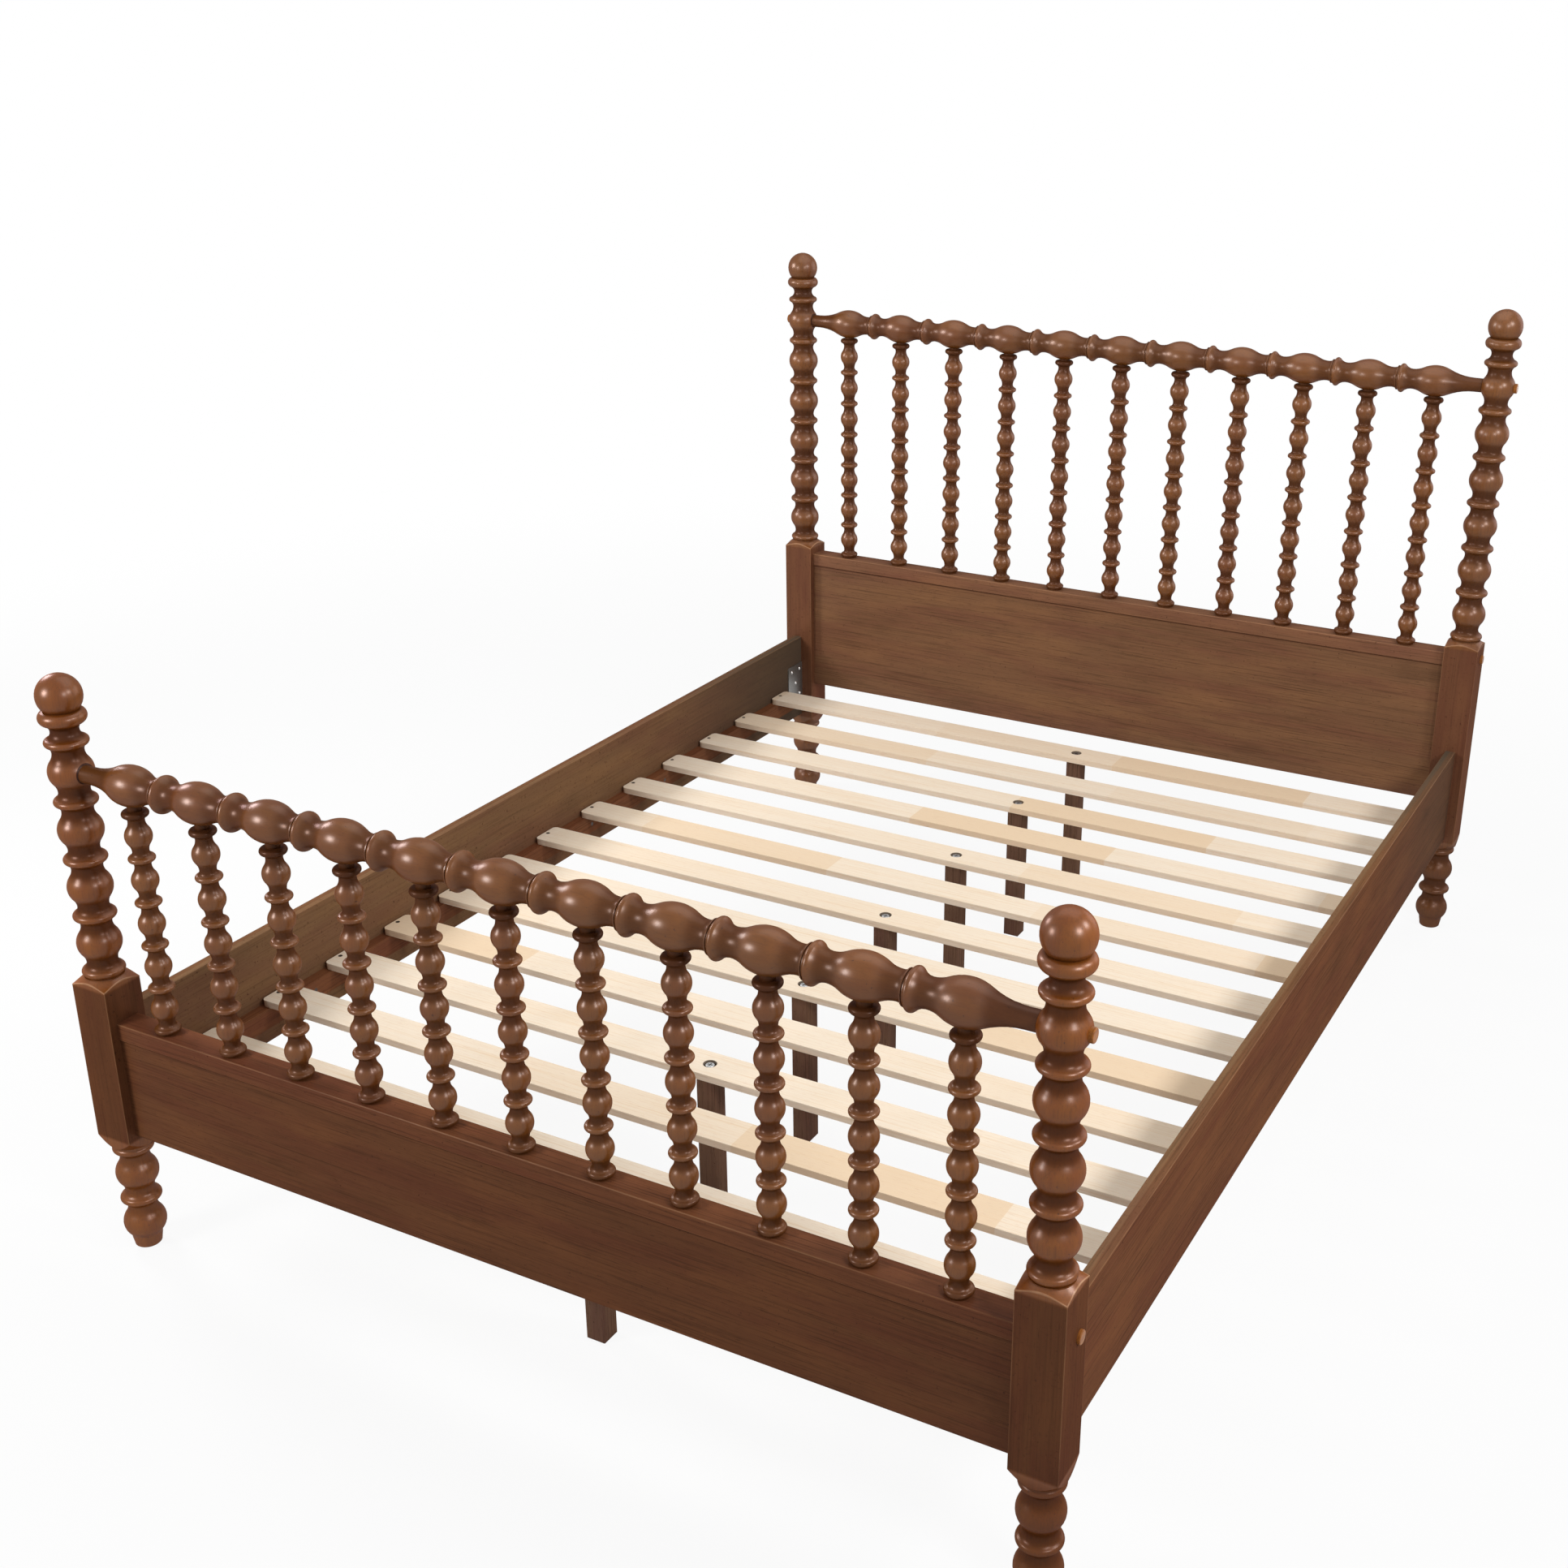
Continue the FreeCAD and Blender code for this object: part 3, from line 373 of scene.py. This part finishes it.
def shoulder_edge(top):
    """Factor that is highest just under the arched edge of a block's turned shoulder, for a lighter
    line of thinned stain and painted highlight.
    """
    def build(tree, place):
        x, y, z = tree.axes(place)
        across = (x.math("ABSOLUTE") - POST_X).math("ABSOLUTE")
        through = (y.math("ABSOLUTE") - POST_Y).math("ABSOLUTE")
        radius = (across * across + through * through) ** 0.5
        edge = top + SHOULDER_SLOPE * (BLOCK_HALF * math.sqrt(2) - radius)
        below = (z - edge).ramp(-0.0022, -0.0004) * (z - edge).ramp(0.0020, 0.0008)
        near_face = across.math("MAXIMUM", through).ramp(BLOCK_HALF - 0.0016, BLOCK_HALF - 0.0006)
        return below * near_face * 0.75
    return build


def either(first, second):
    """The larger of two factors."""
    def build(tree, place):
        return first(tree, place).math("MAXIMUM", second(tree, place))
    return build


def turned_depth(necks, centre):
    """Factor that grows from a turned piece's crowns to its necks, by the distance to its axis."""
    crown, neck, most = necks

    def build(tree, place):
        first, second = centre(tree.axes(place))
        radius = (first * first + second * second) ** 0.5
        return radius.ramp(neck, crown, most, 0.0)
    return build


def between(low, high):
    """Factor that is 1 between two heights."""
    def build(tree, place):
        height = tree.axes(place)[2]
        return height.ramp(low - 0.004, low + 0.004) * height.ramp(high + 0.003, high - 0.005)
    return build


def socket_shade(rail_z):
    """Factor that is 1 in the dark gap round a top rail's end, on a post's inner side."""
    def build(tree, place):
        x, y, z = tree.axes(place)
        through = y.math("ABSOLUTE") - POST_Y
        up = z - rail_z
        radius = (through * through + up * up) ** 0.5
        ring = radius.ramp(TENON_R - 0.0006, TENON_R)
        ring = ring * radius.ramp(TENON_R + 0.0027, TENON_R + 0.0018)
        return ring * x.math("ABSOLUTE").ramp(POST_X - 0.010, POST_X - 0.014)
    return build


def on_post(end, depth):
    """Keeps the necks' stain and painted shade off foot and ball, and paints shade on the legs on
    the right.
    """
    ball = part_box(end + "_post_right")[1].z - BALL_RADIUS

    def build(tree, place):
        x, _, height = tree.axes(place)
        legs = height.ramp(0.020, 0.034, 0.0, 0.45) * height.ramp(0.17, 0.21, 1.0, 2.2)
        necks = depth(tree, place) * legs * height.ramp(ball, ball - 0.010)
        # painted shade on the right-hand legs
        return necks + x.ramp(-0.1, 0.1, 0.05, 0.38) * height.ramp(0.215, 0.195)
    return build


def end_beads(cap_top, rail_z):
    """Painted shade on the spindles' lowest and highest beads, where they meet cap and rail."""
    def build(tree, place):
        height = tree.axes(place)[2]
        foot = height.ramp(cap_top + 0.022, cap_top + 0.006, 0.0, 0.55)
        return height.ramp(rail_z - 0.058, rail_z - 0.046, 0.0, 0.70).math("MAXIMUM", foot)
    return build


def shade_under_cap(height):
    """Painted shade in the corner where a panel runs into its cap."""
    def build(tree, place):
        return tree.axes(place)[2].ramp(height - 0.0045, height - 0.0005, 0.0, 0.75)
    return build


def inner_side(tree, place):
    """Factor that is 1 on the side rails' inner faces, and less on their tops."""
    x, _, z = tree.axes(place)
    inner = x.math("ABSOLUTE").ramp(RAIL_MIDDLE_X + 0.002, RAIL_MIDDLE_X - 0.002)
    return inner.math("MAXIMUM", z.ramp(RAIL_TOP - 0.0008, RAIL_TOP - 0.0003, 0.0, 0.45))


def far_end_shading(tree, place):
    """Painted shade and a painted grey reflection on the side rails, growing towards the headboard,
    more on the inner side.
    """
    x, y, _ = tree.axes(place)
    inner = x.math("ABSOLUTE").ramp(RAIL_MIDDLE_X + 0.002, RAIL_MIDDLE_X - 0.002, 0.45, 0.80)
    return y.ramp(0.30, 1.05) * inner


def post_axis(axes):
    """Distances from the nearest post's axis, along X and Y."""
    x, y, _ = axes
    return [x.math("ABSOLUTE") - POST_X, y.math("ABSOLUTE") - POST_Y]


def spindle_axis(axes):
    """Distances from the nearest spindle's axis, along X and Y."""
    x, y, _ = axes
    turns = x / SPINDLE_PITCH + 0.5
    local = (turns - turns.math("FLOOR") - 0.5) * SPINDLE_PITCH
    return [local, y.math("ABSOLUTE") - POST_Y]


def rail_axis(rail_z):
    """Distances from a top rail's axis, along Y and Z."""
    def build(axes):
        _, y, z = axes
        return [y.math("ABSOLUTE") - POST_Y, z - rail_z]
    return build


def from_nearest_bolt(y):
    """Distance along the bed from the nearest leg bolt."""
    nearest = None
    for bolt_y in BOLT_YS:
        gap = (y - bolt_y).math("ABSOLUTE")
        nearest = gap if nearest is None else nearest.math("MINIMUM", gap)
    return nearest


def slat_wood(settings):
    """Bare pale wood: boards butted end to end, each with its own tone, and painted shade in the
    bolts' bores.
    """
    tree = Tree("bare slat wood")
    place = tree.place()
    x, y, z = tree.axes(place)
    row = (y / SLAT_PITCH).math("ROUND")
    stagger = tree.add("ShaderNodeTexWhiteNoise", {"noise_dimensions": "1D"}, {"W": row}, "Value")
    board = ((x / settings.board) + stagger * 3.0).math("FLOOR")
    key = tree.vector(board, row, 0.0)
    tone = tree.add("ShaderNodeTexWhiteNoise", {"noise_dimensions": "3D"}, {"Vector": key}, "Value")
    figure, streaks, pores, _ = wood_grain(tree, place, 0)
    tan = colour(settings, "tan")
    base = tree.mix(tone.ramp(0.45, 1.0, 0.05, 0.85), colour(settings, "pale"), tan)
    base = tree.mix(streaks.ramp(0.54, 0.28, 0.0, 0.85), base, tan)
    base = tree.mix(figure.ramp(0.50, 0.75, 0.0, 0.30), base, tan)
    base = tree.mix(pores.ramp(0.62, 0.76, 0.0, 0.45), base, colour(settings, "edge"))
    sawn = z.ramp(SLAT_TOP - 0.0012, SLAT_TOP - 0.0022, 0.0, 0.18)
    base = tree.mix(sawn, base, colour(settings, "edge"))
    # painted shade round each bolt
    away = from_nearest_bolt(y)
    radius = (x * x + away * away) ** 0.5
    base = tree.mix(radius.ramp(0.0122, 0.0106, 0.0, 0.92), base, colour(settings, "bore_shade"))
    tree.set(Base_Color=base, Roughness=0.62 + streaks * 0.1, Specular_IOR_Level=0.0,
             Normal=tree.bump(streaks + pores * 0.3, 0.2, 0.0004))
    return tree.material


def plain_metal(name, base, rough):
    """Plated metal with a fine mottle."""
    tree = Tree(name)
    mottled = tree.noise(tree.place(), 420.0, 3.0, 0.6)
    plate = tree.mix(mottled.ramp(0.35, 0.7), (*base, 1.0), (*shaded(base, 0.72), 1.0))
    tree.set(Base_Color=plate, Roughness=rough + mottled * 0.08, Metallic=1.0,
             Normal=tree.bump(mottled, 0.12, 0.0002))
    return tree.material


def bolt_metal(name, base, rough, arm, half):
    """Bright zinc with painted shade for a cross recess in each leg bolt's head, seen from above.
    """
    tree = Tree(name)
    place = tree.place()
    x, y, _ = tree.axes(place)
    across = x.math("ABSOLUTE")
    along = from_nearest_bolt(y)
    wide = across.math("MINIMUM", along).ramp(half + 0.0003, half - 0.0002)
    reach = across.math("MAXIMUM", along).ramp(arm + 0.0003, arm - 0.0003)
    scuffs = tree.noise(place, 500.0, 2.0, 0.6)
    plate = tree.mix(scuffs.ramp(0.35, 0.7), (*base, 1.0), (*shaded(base, 0.55), 1.0))
    # the cross is painted shade: black and not metal
    tree.set(Base_Color=tree.mix(wide * reach, plate, (0.012, 0.012, 0.012, 1.0)),
             Roughness=rough + scuffs * 0.12, Metallic=1.0 - wide * reach)
    return tree.material


def dress(nodes, material):
    """Gives CAD nodes a finish and smooth shading across their curved faces."""
    for name in nodes:
        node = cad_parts[name]
        node.data.materials.clear()
        node.data.materials.append(material)
        node.data.polygons.foreach_set("use_smooth", [True] * len(node.data.polygons))
        weld = node.modifiers.new("Join faces", "WELD")
        weld.merge_threshold = JOIN_WITHIN
        split = node.modifiers.new("Keep edges", "EDGE_SPLIT")
        split.split_angle = EDGE_ANGLE


# ---------------------------------------------------------------------- operators
class BED_OT_turned_wood(bpy.types.Operator):
    """Stain the turned posts, top rails and spindles"""

    bl_idname = "bed.turned_wood"
    bl_label = "Turned wood"

    def execute(self, context):
        stain = context.scene.bed_stain
        # lighter block edges: thinned stain with a painted edge highlight
        edge_wear_and_highlight = arrises((0, POST_X, BLOCK_HALF), (1, POST_Y, BLOCK_HALF), 0.0014, 0.4)
        grounds = {"foot": tuple(stain.foot_ground), "head": tuple(stain.ground)}
        blocks = {"foot": shaded(stain.board, 0.85), "head": tuple(stain.head_block)}
        for end in ENDS:
            top = middle(end + "_panel_cap").z + CAP_TO_BLOCK[end]
            block = between(BLOCK_BOTTOM, top)
            rubbed_and_lit = either(edge_wear_and_highlight, shoulder_edge(top))
            rail_z = middle(end + "_top_rail").z
            # post necks: stain with painted shade, by the distance to the axis
            necks = on_post(end, turned_depth(POST_NECKS, post_axis))
            necks = either(necks, socket_shade(rail_z))
            wood = stained_wood("stained " + end + " post", 2, stain, grounds[end], depth=necks,
                                wear_and_highlight=rubbed_and_lit, grain=0.95, second=blocks[end], where=block,
                                lacquer=stain.lacquer, turned=True)
            dress([end + "_post_" + hand for hand in SIDES], wood)
            cap_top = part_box(end + "_panel_cap")[1].z
            # spindle necks: stain with painted shade; painted shade on the end beads
            necks = either(turned_depth(SPINDLE_NECKS, spindle_axis), end_beads(cap_top, rail_z))
            wood = stained_wood("stained " + end + " spindle", 2, stain, stain.ground, depth=necks,
                                grain=0.60, lacquer=stain.lacquer, turned=True)
            dress([name for name in SPINDLES if name.startswith(end)], wood)
            necks = turned_depth(RAIL_NECKS, rail_axis(rail_z))
            wood = stained_wood("stained " + end + " rail", 0, stain, shaded(stain.ground, 0.95),
                                depth=necks, grain=0.60, lacquer=stain.lacquer, turned=True)
            dress([end + "_top_rail"], wood)
        return {"FINISHED"}


class BED_OT_boards(bpy.types.Operator):
    """Stain the panels, caps, side rails, ledgers and centre legs"""

    bl_idname = "bed.boards"
    bl_label = "Stained boards"

    def execute(self, context):
        stain = context.scene.bed_stain
        for end, tone in (("foot", shaded(stain.board, 0.97)), ("head", tuple(stain.head_board))):
            cap = end + "_panel_cap"
            edge_wear_and_highlight = arrises(side(cap, 1), side(cap, 2))
            redder = (tone[0] * 1.12, tone[1] * 1.07, tone[2] * 1.12)
            dress([cap], stained_wood("stained " + end + " cap", 0, stain, redder, wear_and_highlight=edge_wear_and_highlight))
            # painted shade along the top of each panel, under its cap
            under = shade_under_cap(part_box(cap)[0].z)
            panel = stained_wood("stained " + end + " panel", 0, stain, tone, depth=under)
            dress([end + "_panel"], panel)
        edge_wear_and_highlight = arrises(side("side_rail_right", 0), side("side_rail_right", 2), 0.0016, 0.7)
        # the side rails darken towards the headboard with painted shade and a painted grey
        # reflection
        rail = stained_wood("stained side rail", 1, stain, shaded(stain.board, 1.10), wear_and_highlight=edge_wear_and_highlight,
                            depth=far_end_shading, deep="far_end_shade", second=tuple(stain.inner),
                            where=inner_side)
        dress(["side_rail_" + hand for hand in SIDES], rail)
        ledger = stained_wood("stained ledger", 1, stain, shaded(stain.board, 1.35), grain=1.6)
        dress(["slat_ledger_" + hand for hand in SIDES], ledger)
        dress(["centre_legs"], stained_wood("stained leg", 2, stain, tuple(stain.leg), grain=1.7))
        return {"FINISHED"}


class BED_OT_slats(bpy.types.Operator):
    """Leave the slats as bare wood"""

    bl_idname = "bed.slats"
    bl_label = "Bare slats"

    def execute(self, context):
        dress(SLATS, slat_wood(context.scene.bed_slats))
        return {"FINISHED"}


class BED_OT_fittings(bpy.types.Operator):
    """Zinc brackets, bolts and screws, and the wooden plugs"""

    bl_idname = "bed.fittings"
    bl_label = "Fittings"

    def execute(self, context):
        fitting = context.scene.bed_fittings
        dress(["rail_brackets"], plain_metal("zinc plate", fitting.bracket, 0.42))
        dress(["bracket_screws"], plain_metal("bright zinc", fitting.screw, 0.30))
        dress(["leg_bolts"], bolt_metal("bolt zinc", fitting.bolt, 0.32, arm=0.0046, half=0.0011))
        dress(["slat_screws", "ledger_screws"], plain_metal("dark screw", fitting.dark_screw, 0.45))
        tree = Tree("orange plug wood")
        _, streaks, _, _ = wood_grain(tree, tree.place(), 1)
        base = tree.mix(streaks.ramp(0.3, 0.7), colour(fitting, "plug"),
                        colour(fitting, "plug_streak"))
        tree.set(Base_Color=base, Roughness=0.34, Specular_IOR_Level=0.1)
        dress(["post_plugs"], tree.material)
        return {"FINISHED"}


class BED_OT_studio(bpy.types.Operator):
    """White floor, soft boxes, even light and the photograph's camera"""

    bl_idname = "bed.studio"
    bl_label = "Studio"

    def execute(self, context):
        studio = context.scene.bed_studio
        self.floor()
        self.world(studio)
        for name, place, share in LAMPS:
            width = LAMP_WIDTH * math.sqrt(share)
            self.soft_box(name, place, LAMP_AIM, width, studio.lamps * share)
        self.soft_box("ceiling", CEILING_PLACE, CEILING_AIM, CEILING_WIDTH, studio.ceiling)
        self.soft_box("lamp behind", BACK_PLACE, BACK_AIM, BACK_WIDTH, studio.lamps * BACK_SHARE)
        self.camera(studio)
        return {"FINISHED"}

    def floor(self):
        """Pale floor that takes the shadow and grows white away from the bed."""
        bpy.ops.object.select_all(action="DESELECT")
        bpy.ops.mesh.primitive_plane_add(size=FLOOR_SIDE, location=(0.0, 0.0, FLOOR_Z))
        floor = bpy.context.object
        floor.name = "studio_floor"
        tree = Tree("studio floor")
        tree.set(Base_Color=FLOOR_GREY, Roughness=0.9, Specular_IOR_Level=0.0)
        shown = tree.add("ShaderNodeEmission", {}, [WHITE, 1.0])
        surface = Shade(tree, tree.shader.outputs[0])
        x, y, _ = tree.axes(tree.place())
        away = ((x * x + y * y) ** 0.5).ramp(1.6, 4.5, 0.91, 1.0)
        mixed = tree.add("ShaderNodeMixShader", {}, [seen_ray(tree) * away, surface, shown])
        tree.links.new(mixed.socket, tree.nodes["Material Output"].inputs["Surface"])
        floor.data.materials.append(tree.material)

    def world(self, studio):
        """Even light on the bed, shown as white."""
        world = bpy.data.worlds.new("even light")
        world.use_nodes = True
        bpy.context.scene.world = world
        tree = Tree.of(world.node_tree)
        ambient = tree.add("ShaderNodeBackground", {}, [WHITE, studio.ambient])
        shown = tree.add("ShaderNodeBackground", {}, [WHITE, 1.0])
        mixed = tree.add("ShaderNodeMixShader", {}, [seen_ray(tree), ambient, shown])
        tree.links.new(mixed.socket, tree.nodes["World Output"].inputs["Surface"])

    def soft_box(self, name, place, target, width, power):
        bpy.ops.object.light_add(type="AREA", location=place)
        box = bpy.context.object
        box.name = name
        box.data.shape = "SQUARE"
        box.data.size = width
        box.data.energy = power
        aim = Vector(target) - Vector(place)
        box.rotation_euler = aim.to_track_quat("-Z", "Y").to_euler()

    def camera(self, studio):
        bpy.ops.object.camera_add(location=CAMERA_PLACE, rotation=CAMERA_TURN)
        camera = bpy.context.object
        camera.data.sensor_width = SENSOR_WIDTH
        camera.data.lens = studio.lens
        camera.data.shift_x, camera.data.shift_y = [pixels / PHOTO_SIDE for pixels in CAMERA_SHIFT]
        camera.data.clip_end = 100.0
        bpy.context.scene.camera = camera


class BED_PT_panel(bpy.types.Panel):
    """Buttons for each step of the finish"""

    bl_idname = "BED_PT_panel"
    bl_label = "Spindle Bed"
    bl_space_type = "VIEW_3D"
    bl_region_type = "UI"
    bl_category = "Spindle Bed"

    def draw(self, context):
        for step in STEPS:
            self.layout.operator(step.bl_idname)


STEPS = (BED_OT_turned_wood, BED_OT_boards, BED_OT_slats, BED_OT_fittings, BED_OT_studio)
GROUPS = {"bed_stain": StainSettings, "bed_slats": SlatSettings, "bed_fittings": FittingSettings,
          "bed_studio": StudioSettings}
CLASSES = (*GROUPS.values(), *STEPS, BED_PT_panel)


def register():
    for cls in CLASSES:
        bpy.utils.register_class(cls)
    for name, group in GROUPS.items():
        setattr(bpy.types.Scene, name, bpy.props.PointerProperty(type=group))


def unregister():
    for name in GROUPS:
        delattr(bpy.types.Scene, name)
    for cls in reversed(CLASSES):
        bpy.utils.unregister_class(cls)


def main():
    register()
    bpy.context.scene.view_settings.view_transform = "Standard"
    bpy.ops.bed.turned_wood()
    bpy.ops.bed.boards()
    bpy.ops.bed.slats()
    bpy.ops.bed.fittings()
    bpy.ops.bed.studio()


if __name__ == "__main__":
    main()
